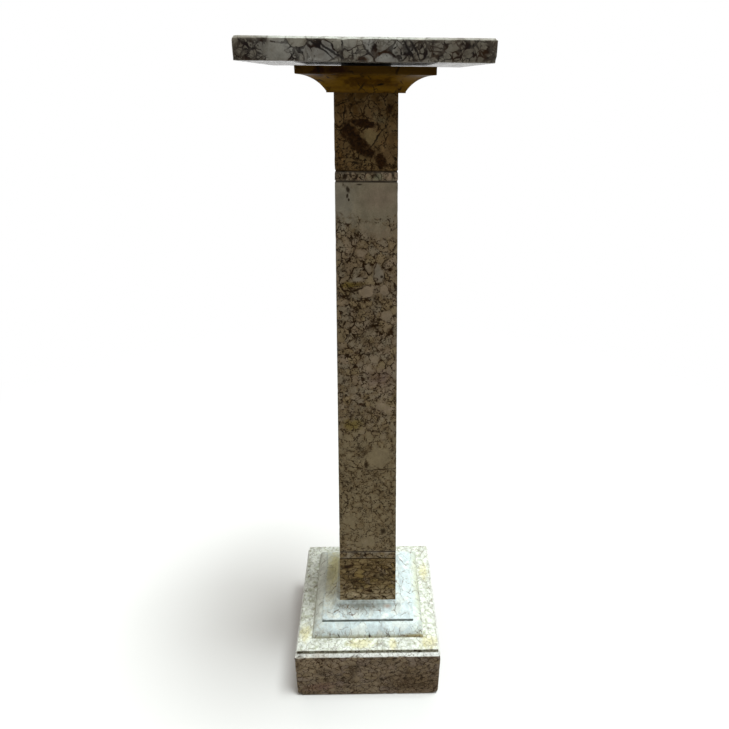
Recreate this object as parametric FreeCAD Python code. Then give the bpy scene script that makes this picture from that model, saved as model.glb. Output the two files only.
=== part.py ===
import FreeCAD
import Part
import math
import os

# Square marble pedestal with a revolving top, in millimetres.
# The origin is the middle of the plinth's underside and +Z is up.
# Nine stones stand on each other and are drawn together by one iron rod between two nuts.
# The rod's turned upper end is the pivot. The top slab sits over it on a black fibre washer,
# turns on it, and lifts off it.
# Square mouldings are given as half an outline: points of (half width, height), going up.

# Plinth, measured outward from the ovolo's foot and up from the floor
plinth_wall_height = 103.0
plinth_splay_height = 6.0
plinth_splay_run = 4.0
plinth_step_height = 7.0
plinth_shelf = 24.5
plinth_foot_bevel = 2.0

# The two moulded tiers and the ledge around the shaft, measured outward from the shaft
ovolo_height = 21.0
ovolo_run = 17.5
fillet_height = 6.0
cavetto_height = 13.0
cavetto_run = 24.0
shaft_ledge = 7.0

# Shaft, which narrows evenly from foot to top and is cut by two pairs of V grooves
shaft_foot_width = 101.0
shaft_top_width = 76.5
foot_block_height = 100.0
lower_band_height = 15.5
main_shaft_height = 616.0
upper_band_height = 12.0
neck_block_height = 88.5
groove_width = 3.4
groove_depth = 1.4

# Capital
capital_lip = 8.2
capital_lip_height = 1.5
capital_cavetto_height = 17.2
capital_cavetto_run = 32.0
abacus_height = 8.5

# Top slab
slab_width = 265.0
slab_thickness = 22.0
slab_edge_bevel = 2.0

# Worn corners of the straight walls, as the width of a flat across the corner's two sides
arris_width = 1.2

# Iron rod, its nuts and washers
rod_diameter = 12.0
rod_bore_clearance = 3.0
rod_above_floor = 6.0
rod_past_nut = 5.0
rod_end_chamfer = 1.0
thread_pitch = 1.75
thread_depth = 0.9
foot_thread_length = 40.0
head_thread_length = 30.0
nut_across_flats = 19.0
nut_height = 10.0
nut_chamfer = 1.2
washer_diameter = 29.0
washer_thickness = 2.5
foot_plate_width = 56.0
foot_plate_thickness = 6.0
foot_plate_chamfer = 1.0
recess_clearance = 3.0
head_nut_cover = 2.5

# Revolving seat: washer, socket plate and bush
slip_washer_diameter = 61.0
slip_washer_thickness = 2.8
slip_washer_play = 1.0
pivot_diameter = 10.0
pivot_depth = 12.0
pivot_end_gap = 2.0
pivot_shoulder_drop = 1.2
socket_plate_diameter = 56.0
socket_plate_thickness = 3.0
bush_wall = 2.5
screw_circle_diameter = 38.0
screw_count = 4
screw_diameter = 4.0
screw_head_diameter = 7.6
screw_length = 14.0
screw_point_length = 3.0
screw_slot_width = 0.9
screw_slot_depth = 0.9
plug_diameter = 7.0
plug_past_screw = 1.0

# Clearances on the radius
pivot_clearance = 0.08
set_clearance = 0.05

# Half widths of the square outlines
shaft_foot_half = shaft_foot_width / 2
shaft_top_half = shaft_top_width / 2
ledge_half = shaft_foot_half + shaft_ledge
fillet_half = ledge_half + cavetto_run
ovolo_half = fillet_half + ovolo_run
step_half = ovolo_half + plinth_shelf
plinth_half = step_half + plinth_splay_run
capital_foot_half = shaft_top_half + capital_lip
abacus_half = capital_foot_half + capital_cavetto_run
slab_half = slab_width / 2

# Heights of the stones' beds
plinth_top = plinth_wall_height + plinth_splay_height + plinth_step_height
ovolo_top = plinth_top + ovolo_height
tiers_top = ovolo_top + fillet_height + cavetto_height
lower_band_foot = tiers_top + foot_block_height
main_shaft_foot = lower_band_foot + lower_band_height
upper_band_foot = main_shaft_foot + main_shaft_height
neck_block_foot = upper_band_foot + upper_band_height
capital_foot = neck_block_foot + neck_block_height
abacus_foot = capital_foot + capital_lip_height + capital_cavetto_height
capital_top = abacus_foot + abacus_height
slab_foot = capital_top + slip_washer_thickness
slab_top = slab_foot + slab_thickness

# Heights and radii along the rod
rod_radius = rod_diameter / 2
rod_bore_radius = rod_radius + rod_bore_clearance
foot_nut_foot = rod_above_floor + rod_past_nut
foot_washer_foot = foot_nut_foot + nut_height
foot_plate_foot = foot_washer_foot + washer_thickness
foot_recess_top = foot_plate_foot + foot_plate_thickness
foot_recess_radius = foot_plate_width / math.sqrt(2) + recess_clearance
head_recess_foot = capital_top - head_nut_cover - nut_height - washer_thickness
head_nut_foot = head_recess_foot + washer_thickness
head_recess_radius = washer_diameter / 2 + recess_clearance
pivot_radius = pivot_diameter / 2
pivot_foot = capital_top - pivot_shoulder_drop
pivot_top = slab_foot + pivot_depth

# Radii and heights of the socket in the slab
bush_bore_radius = pivot_radius + pivot_clearance
bush_radius = bush_bore_radius + bush_wall
bush_hole_radius = bush_radius + set_clearance
socket_top = pivot_top + pivot_end_gap
socket_plate_radius = socket_plate_diameter / 2
socket_plate_top = slab_foot + socket_plate_thickness
screw_radius = screw_diameter / 2
screw_head_radius = screw_head_diameter / 2
screw_head_height = screw_head_radius - screw_radius
plug_radius = plug_diameter / 2
plug_top = slab_foot + screw_length + plug_past_screw

ORIGIN = FreeCAD.Vector(0, 0, 0)
UP = FreeCAD.Vector(0, 0, 1)
ACROSS = FreeCAD.Vector(1, 0, 0)


def outline_point(half_width, height):
    return FreeCAD.Vector(half_width, 0, height)


def straight(*points):
    """Edges of a half outline through its (half width, height) points."""
    ends = [outline_point(*point) for point in points]
    return [Part.makeLine(low, high) for low, high in zip(ends, ends[1:])]


def arc(low, high, centre):
    """The shorter arc of a half outline between two points, about its centre."""
    start, end, middle = (outline_point(*point) for point in (low, high, centre))
    half_way = (start - middle) + (end - middle)
    half_way.normalize()
    crown = middle + half_way * (start - middle).Length
    return [Part.Arc(start, crown, end).toShape()]


def ovolo(low, high):
    """Bulging arc that leaves its low point upright."""
    run = low[0] - high[0]
    rise = high[1] - low[1]
    radius = (run * run + rise * rise) / (2 * run)
    return arc(low, high, (low[0] - radius, low[1]))


def cavetto(low, high):
    """Hollow arc that lies level at its outer point, whether that is the low or the high one."""
    run = low[0] - high[0]
    rise = high[1] - low[1]
    radius = (run * run + rise * rise) / (2 * rise)
    if run > 0:
        return arc(low, high, (low[0], low[1] + radius))
    return arc(low, high, (high[0], high[1] - radius))


def square_block(edges):
    """Solid with the same half outline on all four sides, mitred at the corners."""
    right = Part.Wire(edges)
    left = right.mirror(ORIGIN, ACROSS)
    foot, head = right.OrderedVertexes[0].Point, right.OrderedVertexes[-1].Point
    bottom = Part.makeLine(outline_point(-foot.x, foot.z), foot)
    top = Part.makeLine(outline_point(-head.x, head.z), head)
    sides = Part.__sortEdges__([bottom, *right.Edges, top, *left.Edges])
    reach = right.BoundBox.XMax + 1
    face = Part.Face(Part.Wire(sides))
    face.translate(FreeCAD.Vector(0, -reach, 0))
    bar = face.extrude(FreeCAD.Vector(0, 2 * reach, 0))
    crossing_bar = bar.copy()
    crossing_bar.rotate(ORIGIN, UP, 90)
    return bar.common(crossing_bar).Solids[0]


def soften_corners(block, foot, head):
    """Cuts a flat along the four corners of a wall between two (half width, height) points."""
    ends = [((2 * half - arris_width) / math.sqrt(2), height) for half, height in (foot, head)]
    turned_square = square_block(straight(*ends))
    turned_square.rotate(ORIGIN, UP, 45)
    return block.common(turned_square).Solids[0]


def drum(radius, foot, head):
    """Round bar on the rod's axis between two heights."""
    return Part.makeCylinder(radius, head - foot, outline_point(0, foot))


def turned(points):
    """Solid turned about the rod's axis from a closed outline of (radius, height) points."""
    ring = [outline_point(*point) for point in points]
    face = Part.Face(Part.makePolygon([*ring, ring[0]]))
    return face.revolve(ORIGIN, UP, 360)


def bored(block):
    """The block with the rod's hole through it."""
    box = block.BoundBox
    return block.cut(drum(rod_bore_radius, box.ZMin - 1, box.ZMax + 1))


def around_circle(shape):
    """Copies of a shape on the screw circle, half a step round from the slab's sides."""
    step = 360 / screw_count
    copies = []
    for index in range(screw_count):
        copy = shape.copy()
        copy.translate(ACROSS * (screw_circle_diameter / 2))
        copy.rotate(ORIGIN, UP, step * (index + 0.5))
        copies.append(copy)
    return copies


def plinth_block():
    wall_foot = plinth_half, plinth_foot_bevel
    wall_head = plinth_half, plinth_wall_height
    edges = straight(
        (plinth_half - plinth_foot_bevel, 0),
        wall_foot,
        wall_head,
        (step_half, plinth_wall_height + plinth_splay_height),
        (step_half, plinth_top),
    )
    block = square_block(edges)
    block = soften_corners(block, (plinth_half, 0), (plinth_half, plinth_top))
    return bored(block).cut(drum(foot_recess_radius, -1, foot_recess_top))


def ovolo_tier():
    return bored(square_block(ovolo((ovolo_half, plinth_top), (fillet_half, ovolo_top))))


def cavetto_tier():
    arris = fillet_half, ovolo_top + fillet_height
    edges = straight((fillet_half, ovolo_top), arris) + cavetto(arris, (ledge_half, tiers_top))
    return bored(square_block(edges))


def shaft_half(height):
    """Half the shaft's width at a height."""
    share = (height - tiers_top) / (capital_foot - tiers_top)
    return shaft_foot_half + share * (shaft_top_half - shaft_foot_half)


def shaft_block(foot, head, groove_below, groove_above):
    """One stone of the shaft, bevelled where half of a groove runs round its end."""
    bevel = groove_width / 2
    wall_foot = foot + (bevel if groove_below else 0)
    wall_head = head - (bevel if groove_above else 0)
    points = [(shaft_half(wall_foot), wall_foot), (shaft_half(wall_head), wall_head)]
    if groove_below:
        points.insert(0, (shaft_half(foot) - groove_depth, foot))
    if groove_above:
        points.append((shaft_half(head) - groove_depth, head))
    block = square_block(straight(*points))
    return bored(soften_corners(block, (shaft_half(foot), foot), (shaft_half(head), head)))


def capital():
    lip_top = capital_foot_half, capital_foot + capital_lip_height
    abacus_edge = abacus_half, abacus_foot
    edges = straight((capital_foot_half, capital_foot), lip_top)
    edges += cavetto(lip_top, abacus_edge)
    edges += straight(abacus_edge, (abacus_half, capital_top))
    recess = drum(head_recess_radius, head_recess_foot, capital_top + 1)
    return bored(square_block(edges)).cut(recess)


def top_slab():
    edges = straight(
        (slab_half, slab_foot),
        (slab_half, slab_top - slab_edge_bevel),
        (slab_half - slab_edge_bevel, slab_top),
    )
    slab = soften_corners(square_block(edges), (slab_half, slab_foot), (slab_half, slab_top))
    slab = slab.cut(drum(socket_plate_radius + set_clearance, slab_foot - 1, socket_plate_top))
    slab = slab.cut(drum(bush_hole_radius, slab_foot, socket_top))
    plug_hole = drum(plug_radius + set_clearance, slab_foot, plug_top)
    return slab.cut(around_circle(plug_hole))


def thread_rings(foot, length):
    """Outline points of a threaded stretch, with its thread as closed rings."""
    points = []
    for index in range(int(length / thread_pitch)):
        root = foot + (index + 0.5) * thread_pitch
        points.append((rod_radius, root - thread_pitch / 2))
        points.append((rod_radius - thread_depth, root))
    return points


def tie_rod():
    foot_thread = thread_rings(rod_above_floor + rod_end_chamfer, foot_thread_length)
    head_thread = thread_rings(pivot_foot - head_thread_length, head_thread_length)
    points = [(0, rod_above_floor), (rod_radius - rod_end_chamfer, rod_above_floor)]
    points += foot_thread + [(rod_radius, foot_thread[-1][1] + thread_pitch / 2)]
    points += head_thread + [(rod_radius, pivot_foot - rod_end_chamfer)]
    points += [(pivot_radius, pivot_foot), (pivot_radius, pivot_top - rod_end_chamfer)]
    points += [(pivot_radius - rod_end_chamfer, pivot_top), (0, pivot_top)]
    return turned(points)


def nut(foot):
    """Hexagon nut, its corners chamfered top and bottom."""
    head = foot + nut_height
    corner_radius = nut_across_flats / math.sqrt(3)
    hexagon = [
        FreeCAD.Vector(
            corner_radius * math.cos(math.radians(60 * corner)),
            corner_radius * math.sin(math.radians(60 * corner)),
            foot,
        )
        for corner in range(7)
    ]
    prism = Part.Face(Part.makePolygon(hexagon)).extrude(UP * nut_height)
    rounded = turned(
        [
            (0, foot),
            (corner_radius - nut_chamfer, foot),
            (corner_radius, foot + nut_chamfer / 2),
            (corner_radius, head - nut_chamfer / 2),
            (corner_radius - nut_chamfer, head),
            (0, head),
        ]
    )
    return prism.common(rounded).cut(drum(rod_radius + set_clearance, foot - 1, head + 1))


def washer(foot):
    ring = drum(washer_diameter / 2, foot, foot + washer_thickness)
    return ring.cut(drum(rod_radius + set_clearance, foot - 1, foot + washer_thickness + 1))


def foot_plate():
    half = foot_plate_width / 2
    edges = straight(
        (half - foot_plate_chamfer, foot_plate_foot),
        (half, foot_plate_foot + foot_plate_chamfer),
        (half, foot_recess_top),
    )
    hole = drum(rod_radius + set_clearance, foot_plate_foot - 1, foot_recess_top + 1)
    return square_block(edges).cut(hole)


def slip_washer():
    disc = drum(slip_washer_diameter / 2, capital_top, slab_foot)
    return disc.cut(drum(pivot_radius + slip_washer_play, capital_top - 1, slab_foot + 1))


def screw(size=0.0):
    """Countersunk screw at the axis, driven up from the plate's face. size widens it all round."""
    neck = slab_foot + screw_head_height
    tip = slab_foot + screw_length
    return turned(
        [
            (0, slab_foot),
            (screw_head_radius + size, slab_foot),
            (screw_radius + size, neck),
            (screw_radius + size, tip - screw_point_length),
            (0, tip + size),
        ]
    )


def socket_screws():
    slot = Part.makeBox(
        screw_head_diameter,
        screw_slot_width,
        screw_slot_depth,
        FreeCAD.Vector(-screw_head_radius, -screw_slot_width / 2, slab_foot),
    )
    return Part.makeCompound(around_circle(screw().cut(slot)))


def screw_plugs():
    plug = drum(plug_radius, socket_plate_top, plug_top)
    return Part.makeCompound(around_circle(plug.cut(screw(set_clearance))))


def socket_plate():
    plate = drum(socket_plate_radius, slab_foot, socket_plate_top)
    plate = plate.cut(drum(bush_hole_radius, slab_foot - 1, socket_plate_top + 1))
    return plate.cut(around_circle(screw(set_clearance)))


def pivot_bush():
    tube = drum(bush_radius, slab_foot, pivot_top)
    return tube.cut(drum(bush_bore_radius, slab_foot - 1, pivot_top + 1))


def save(name, shape):
    shape.exportStep(os.path.join("parts", name + ".step"))


def main():
    os.makedirs("parts", exist_ok=True)
    save("plinth_block", plinth_block())
    save("ovolo_tier", ovolo_tier())
    save("cavetto_tier", cavetto_tier())
    save("foot_block", shaft_block(tiers_top, lower_band_foot, False, True))
    save("lower_band", shaft_block(lower_band_foot, main_shaft_foot, True, True))
    save("main_shaft", shaft_block(main_shaft_foot, upper_band_foot, True, True))
    save("upper_band", shaft_block(upper_band_foot, neck_block_foot, True, True))
    save("neck_block", shaft_block(neck_block_foot, capital_foot, True, False))
    save("capital", capital())
    save("tie_rod", tie_rod())
    save("foot_plate", foot_plate())
    save("foot_washer", washer(foot_washer_foot))
    save("foot_nut", nut(foot_nut_foot))
    save("head_washer", washer(head_recess_foot))
    save("head_nut", nut(head_nut_foot))
    save("slip_washer", slip_washer())
    save("top_slab", top_slab())
    save("socket_plate", socket_plate())
    save("pivot_bush", pivot_bush())
    save("socket_screws", socket_screws())
    save("screw_plugs", screw_plugs())


main()
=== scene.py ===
"""Square marble pedestal with a revolving top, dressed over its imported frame.

Nine stones stand on each other around an iron rod, and a slab turns on the rod's end over a
black fibre washer. Each stone is rebuilt as a fine mesh with worn arrises, in metres, where its
CAD node stands. The ironwork and the washer keep their CAD shapes.
"""

import math

import bmesh
import bpy
from bpy.props import FloatProperty, FloatVectorProperty, PointerProperty
from mathutils import Euler, Matrix, Vector, noise


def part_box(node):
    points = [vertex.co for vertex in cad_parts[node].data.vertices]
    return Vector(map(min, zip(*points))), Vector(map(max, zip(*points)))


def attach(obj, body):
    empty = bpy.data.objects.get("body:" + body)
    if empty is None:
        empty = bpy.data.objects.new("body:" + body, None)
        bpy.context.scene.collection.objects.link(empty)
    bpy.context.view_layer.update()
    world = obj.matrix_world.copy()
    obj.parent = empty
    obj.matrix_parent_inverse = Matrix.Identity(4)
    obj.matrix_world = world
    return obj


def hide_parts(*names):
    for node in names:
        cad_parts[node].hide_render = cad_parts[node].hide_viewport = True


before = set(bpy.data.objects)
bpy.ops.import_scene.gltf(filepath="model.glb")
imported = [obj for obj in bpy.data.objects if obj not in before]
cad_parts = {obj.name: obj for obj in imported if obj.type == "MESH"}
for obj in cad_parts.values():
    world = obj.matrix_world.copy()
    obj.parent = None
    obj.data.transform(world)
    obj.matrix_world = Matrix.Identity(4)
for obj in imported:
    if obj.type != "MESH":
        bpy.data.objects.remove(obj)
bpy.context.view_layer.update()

bl_info = {
    "name": "Marble pedestal",
    "version": (1, 0, 0),
    "blender": (4, 5, 0),
    "location": "3D View > Sidebar > Pedestal",
    "description": "Dresses a square marble pedestal with a revolving top",
    "category": "Object",
}

MM = 0.001

# How a stone's mesh is set out. A corner that turns less than CURVE_TURN is part of a moulding
CURVE_STEPS = 16
CURVE_TURN = math.radians(16)
SHARP_TURN = math.radians(42)
ARRIS_STEPS = (0.0, 0.7 * MM, 1.8 * MM)
FACE_INSETS = (3 * MM, 0.8 * MM)
SHORTEST_RUN = 2.5 * MM

# How far from an arris it is worn and rubbed, how deep the crumbs are, and the lumps that vary them
WORN_REACH, RUBBED_REACH = 1.7 * MM, 1.1 * MM
CRUMB_DEPTH = 0.12 * MM
RUBBED_LUMPS, KNOCK_LUMPS = 14 * MM, 2.5 * MM


def linear(hex_colour):
    """An sRGB hex colour as linear red, green and blue."""
    channels = [int(hex_colour[start : start + 2], 16) / 255 for start in (1, 3, 5)]
    return tuple(c / 12.92 if c <= 0.04045 else ((c + 0.055) / 1.055) ** 2.4 for c in channels)


def length(name, description, millimetres):
    """A size property that shows in the file's units."""
    return FloatProperty(
        name=name, description=description, default=millimetres * MM, min=0.0, unit="LENGTH", precision=4
    )


def colour(name, description, hex_colour):
    return FloatVectorProperty(
        name=name, description=description, default=linear(hex_colour), subtype="COLOR", min=0.0, max=1.0
    )


def strength(name, description, default):
    return FloatProperty(name=name, description=description, default=default, min=0.0)


class PedestalSizes(bpy.types.PropertyGroup):
    """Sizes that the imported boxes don't give, as the stonecutter would set them out."""

    splay_run: length("Plinth splay run", "How far the plinth's top edge leans in", 4)
    splay_height: length("Plinth splay height", "Height of the leaning edge", 6)
    step_height: length("Plinth step", "Height of the step above the splay", 7)
    foot_bevel: length("Plinth foot bevel", "Bevel along the plinth's lowest edge", 2)
    recess_radius: length("Nut recess radius", "Radius of the recess under the plinth", 42.6)
    recess_height: length("Nut recess depth", "Depth of the recess under the plinth", 29.5)
    fillet_height: length("Fillet", "Height of the upright edge below the base's hollow", 6)
    ledge: length("Ledge", "Flat width around the shaft's foot", 7)
    shaft_top_width: length("Shaft top width", "Width of the shaft under the capital", 76.5)
    groove_width: length("Groove width", "Width of the V grooves around the shaft", 3.4)
    groove_depth: length("Groove depth", "Depth of the V grooves around the shaft", 1.4)
    capital_lip: length("Capital lip", "How far the capital stands out at the shaft", 8.2)
    capital_lip_height: length("Capital lip height", "Height of the upright lip", 1.5)
    abacus_height: length("Abacus height", "Height of the square plate on the capital", 8.5)
    slab_bevel: length("Slab bevel", "Bevel along the slab's top edge", 2)
    bore_radius: length("Rod bore radius", "Radius of the hole through the stones", 9)
    head_recess_radius: length("Head recess radius", "Radius of the upper nut's recess", 17.5)
    head_recess_depth: length("Head recess depth", "Depth of the upper nut's recess", 15)
    socket_radius: length("Socket radius", "Radius of the seat for the iron plate in the slab", 28.05)
    socket_depth: length("Socket depth", "Depth of the seat for the iron plate", 3)
    bush_radius: length("Bush hole radius", "Radius of the hole for the brass bush", 7.63)
    bush_depth: length("Bush hole depth", "Depth of the hole for the brass bush", 14)
    arris_radius: length("Arris radius", "Roundness that handling gave the stones' edges", 0.7)
    chip_depth: length("Chip depth", "Depth of the chips along the edges", 1.3)
    chip_length: length("Chip length", "Usual length of a chip", 9)
    spacing: length("Mesh spacing", "Longest step of the mesh along an edge", 3.6)


class PedestalColours(bpy.types.PropertyGroup):
    """Colours that the stones share."""

    cream: colour("Cream clasts", "Pale stone between the veins", "#AF9C86")
    grey: colour("Grey clasts", "Cooler stone between the veins", "#A89A85")
    buff: colour("Buff clasts", "Warmer stone between the veins", "#A8936C")
    pale: colour("Toplit stone", "Pale stone where the plinth is wiped", "#E8ECE6")
    # Colour painted on the faces that face up, as painted light from above
    white: colour("White stone", "Whiter stone of the moulded tiers", "#CFDBDE")
    bare: colour("Bare stone", "Stone where an edge is rubbed or chipped", "#ACA497")
    umber: colour("Umber veins", "Brown veins of the shaft and the plinth", "#2B1B07")
    purple: colour("Purple veins", "Purple-brown veins of the slab", "#1C1312")
    stain: colour("Brown stain", "Stain beside the veins", "#826B49")
    rust: colour("Rust", "Iron stains in the stone", "#432A12")
    ochre: colour("Ochre", "Yellow clay in the stone", "#8E7B42")
    straw: colour("Straw", "Yellow clay in the plinth's wiped ledges", "#E4DBA4")
    honey: colour("Honey", "Ground of the capital's onyx", "#8E691C")


class PedestalStage(bpy.types.PropertyGroup):
    """Light and camera."""

    key: strength("Key light", "Strength of the light from above", 3.3)
    fill: strength("Fill light", "Strength of the even light in front", 0.38)
    back: strength("Back light", "Strength of the even light behind", 0.62)
    lens: FloatProperty(
        name="Lens", description="Focal length for a 36 mm frame", default=28.13, unit="CAMERA"
    )


# ---------------------------------------------------------------- outlines and meshes


def bow(start, end, centre, steps):
    """Points after start along the shorter arc to end, about a centre."""
    first = math.atan2(start[1] - centre[1], start[0] - centre[0])
    last = math.atan2(end[1] - centre[1], end[0] - centre[0])
    sweep = (last - first + math.pi) % math.tau - math.pi
    radius = math.hypot(start[0] - centre[0], start[1] - centre[1])
    angles = [first + sweep * step / steps for step in range(1, steps + 1)]
    return [(centre[0] + radius * math.cos(a), centre[1] + radius * math.sin(a)) for a in angles]


def ovolo(low, high, steps):
    """Bulging edge that leaves its low point upright."""
    run, rise = low[0] - high[0], high[1] - low[1]
    radius = (run * run + rise * rise) / (2 * run)
    return bow(low, high, (low[0] - radius, low[1]), steps)


def cavetto(low, high, steps):
    """Hollow edge that lies level at its outer point."""
    run, rise = low[0] - high[0], high[1] - low[1]
    radius = (run * run + rise * rise) / (2 * rise)
    centre = (low[0], low[1] + radius) if run > 0 else (high[0], high[1] - radius)
    return bow(low, high, centre, steps)


def soften(outline, radius):
    """The outline with an arc at each sharp corner. Points become (half width, height, is an arris)."""
    soft = [(*outline[0], True)]
    for before, corner, after in zip(outline, outline[1:], outline[2:]):
        corner = Vector(corner)
        back, on = Vector(before) - corner, Vector(after) - corner
        turn = math.pi - back.angle(on)
        if turn < CURVE_TURN:
            soft.append((*corner, False))
            continue
        reach = min(radius * math.tan(turn / 2), back.length * 0.45, on.length * 0.45)
        start, end = corner + back.normalized() * reach, corner + on.normalized() * reach
        soft.append((*start, True))
        soft.append((*((start + end) / 4 + corner / 2), True))
        soft.append((*end, True))
    soft.append((*outline[-1], True))
    return soft


def stations(span, spacing):
    """Shares of a length that crowd towards both ends, where the arrises wear."""
    near = [step for step in ARRIS_STEPS if step < span * 0.3]
    middle = span - 2 * near[-1]
    count = max(1, round(middle / spacing))
    shares = [step / span for step in near]
    shares += [(near[-1] + middle * step / count) / span for step in range(1, count)]
    return shares + [1 - step / span for step in reversed(near)]


def refine(soft, spacing):
    """The outline with more points on its long runs."""
    fine = []
    for (x0, z0, edge0), (x1, z1, edge1) in zip(soft, soft[1:]):
        span = math.hypot(x1 - x0, z1 - z0)
        fine.append((x0, z0, edge0))
        if edge0 and edge1 and span > SHORTEST_RUN:
            for share in stations(span, spacing)[1:-1]:
                fine.append((x0 + (x1 - x0) * share, z0 + (z1 - z0) * share, False))
    return fine + [soft[-1]]


def square_ring(half, corner, shares):
    """A loop around a square with rounded corners. Each point has its distance from the nearest corner."""
    loop = []
    flat = half - corner
    for side in range(4):
        turn = Matrix.Rotation(side * math.pi / 2, 2)
        for share in shares:
            along = (2 * share - 1) * flat
            loop.append((turn @ Vector((half, along)), flat - abs(along)))
        for step in (1, 2):
            angle = step * math.pi / 6
            point = Vector((flat + corner * math.cos(angle), flat + corner * math.sin(angle)))
            loop.append((turn @ point, 0.0))
    return loop


def worn(point, edge, sizes):
    """How deep handling and knocks have cut a point that lies some way from an arris."""
    chips = noise.noise(point / sizes.chip_length + Vector((3.1, 7.7, 1.9)))
    deep = min(1.0, max(0.0, (chips - 0.28) / 0.3)) ** 1.5
    crumbs = 0.5 + 0.5 * noise.noise(point / (sizes.chip_length * 0.25))
    near = math.exp(-((edge / WORN_REACH) ** 2))
    return near * (sizes.chip_depth * deep + CRUMB_DEPTH * crumbs)


def stone(name, nodes, body, outline, sizes, under=(), over=(), dents=(), closed=True):
    """A square stone with worn arrises.

    outline is its half outline, going up. under and over are (radius, height) of round rings that
    come before and after it, for the bores. dents are (place, radius, depth) of larger knocks.
    """
    spacing, corner = sizes.spacing, sizes.arris_radius
    widest = max(half for half, _ in outline)
    shares = stations(2 * (widest - corner), spacing)
    profile = refine(soften(outline, corner), spacing)
    arrises = [index for index, point in enumerate(profile) if point[2]]
    reach = [0.0]
    for (x0, z0, _), (x1, z1, _) in zip(profile, profile[1:]):
        reach.append(reach[-1] + math.hypot(x1 - x0, z1 - z0))

    mesh = bmesh.new()
    edges = []
    rings = []

    def add_round(radius, height):
        loop = square_ring(widest, corner, shares)
        points = [Vector((*(place.normalized() * radius), height)) for place, _ in loop]
        edges.extend(1.0 for _ in points)
        rings.append([mesh.verts.new(point) for point in points])

    def add_square(half, height, along, level):
        loop = square_ring(half, corner, shares)
        edges.extend(along if level else min(along, side) for _, side in loop)
        rings.append([mesh.verts.new((*place, height)) for place, _ in loop])

    for radius, height in under:
        add_round(radius, height)
    foot, head = profile[0], profile[-1]
    for inset in FACE_INSETS:
        add_square(foot[0] - inset, foot[1], inset, True)
    for index, (half, height, _) in enumerate(profile):
        along = min(abs(reach[index] - reach[arris]) for arris in arrises)
        add_square(half, height, along, False)
    for inset in reversed(FACE_INSETS):
        add_square(head[0] - inset, head[1], inset, True)
    for radius, height in over:
        add_round(radius, height)

    pairs = list(zip(rings, rings[1:]))
    if closed:
        pairs.append((rings[-1], rings[0]))
    else:
        mesh.faces.new(reversed(rings[0]))
        mesh.faces.new(rings[-1])
    for low, high in pairs:
        for index in range(len(low)):
            beside = (index + 1) % len(low)
            mesh.faces.new((low[index], low[beside], high[beside], high[index]))
    mesh.normal_update()

    moves = []
    wear = []
    for vertex, edge in zip(mesh.verts, edges):
        depth = worn(vertex.co, edge, sizes)
        for place, radius, knock in dents:
            near = (vertex.co - Vector(place)).length / radius
            if near < 1:
                rough = 1 + 0.35 * noise.noise(vertex.co / KNOCK_LUMPS)
                depth = max(depth, knock * (1 - near * near) ** 1.5 * rough)
        moves.append(vertex.normal * -depth)
        rubbed = 0.5 + 0.5 * noise.noise(vertex.co / RUBBED_LUMPS + Vector((5.0, 2.0, 8.0)))
        rim = math.exp(-((edge / RUBBED_REACH) ** 2)) * rubbed
        wear.append(min(1.0, 0.75 * rim + 0.9 * depth / sizes.chip_depth))
    for vertex, move in zip(mesh.verts, moves):
        vertex.co += move

    data = bpy.data.meshes.new(name)
    mesh.to_mesh(data)
    mesh.free()
    data.attributes.new("wear", "FLOAT", "POINT").data.foreach_set("value", wear)
    data.shade_smooth()
    data.set_sharp_from_angle(angle=SHARP_TURN)
    piece = bpy.data.objects.new(name, data)
    bpy.context.scene.collection.objects.link(piece)
    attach(piece, body)
    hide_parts(*nodes)
    return piece


# ---------------------------------------------------------------- materials


SMOOTH = {"interpolation_type": "SMOOTHSTEP"}
TIMES_PLUS = {"operation": "MULTIPLY_ADD"}

# Sizes in the marble, in millimetres: what bends its seams, where it is broken, and its finer marks
FOLDS, KINKS, TREMBLE = 30.0, 9.0, 3.6
CRUSHED_ZONES, VEINED_ZONES, HAIR_ZONES, DUST_ZONES = 42.0, 24.0, 16.0, 22.0
CLOUDS, GRAINS, GRIT, CLOTS = 13.0, 1.6, 6.5, 2.4
SEEPAGE, STAINS, BLOTCHES, RAGS = 34.0, 12.0, 5.0, 6.0
SWELLING, FADING, RUSTING = 8.0, 8.0, 15.0


def add(tree, kind, inputs=(), **settings):
    """Adds a node, sets its own settings and sets or links its inputs. Returns its outputs.

    A colour may be a hex value or three linear ones.
    """
    made = tree.nodes.new("ShaderNode" + kind)
    for name, value in settings.items():
        setattr(made, name, value)
    for key, value in dict(inputs).items():
        socket = made.inputs[key]
        if isinstance(value, bpy.types.NodeSocket):
            tree.links.new(value, socket)
        elif socket.type == "RGBA":
            socket.default_value = (*(linear(value) if isinstance(value, str) else value), 1.0)
        else:
            socket.default_value = value
    return made.outputs


def new_material(name):
    """A material with its tree, its shader and the place in the stone in millimetres."""
    material = bpy.data.materials.new(name)
    material.use_nodes = True
    tree = material.node_tree
    tree.nodes.clear()
    shader = add(tree, "BsdfPrincipled")[0]
    add(tree, "OutputMaterial", {"Surface": shader})
    place = add(tree, "TexCoord")["Object"]
    place = add(tree, "VectorMath", {0: place, "Scale": 1 / MM}, operation="SCALE")[0]
    return material, tree, shader.node, place


def surface(tree, shader, colour, rough, height, strength, depth):
    """Gives a shader its colour, its roughness and a relief of a depth in millimetres."""
    bump = add(tree, "Bump", {"Strength": strength, "Distance": depth * MM, "Height": height})[0]
    for name, socket in (("Base Color", colour), ("Roughness", rough), ("Normal", bump)):
        tree.links.new(socket, shader.inputs[name])


def layered(tree, colour, *layers):
    """A colour with others laid over it in turn. Each layer is (colour, share)."""
    for over, share in layers:
        colour = add(
            tree, "Mix", {"Factor": share, "A": colour, "B": over}, data_type="RGBA", clamp_factor=True
        )["Result"]
    return colour


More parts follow.
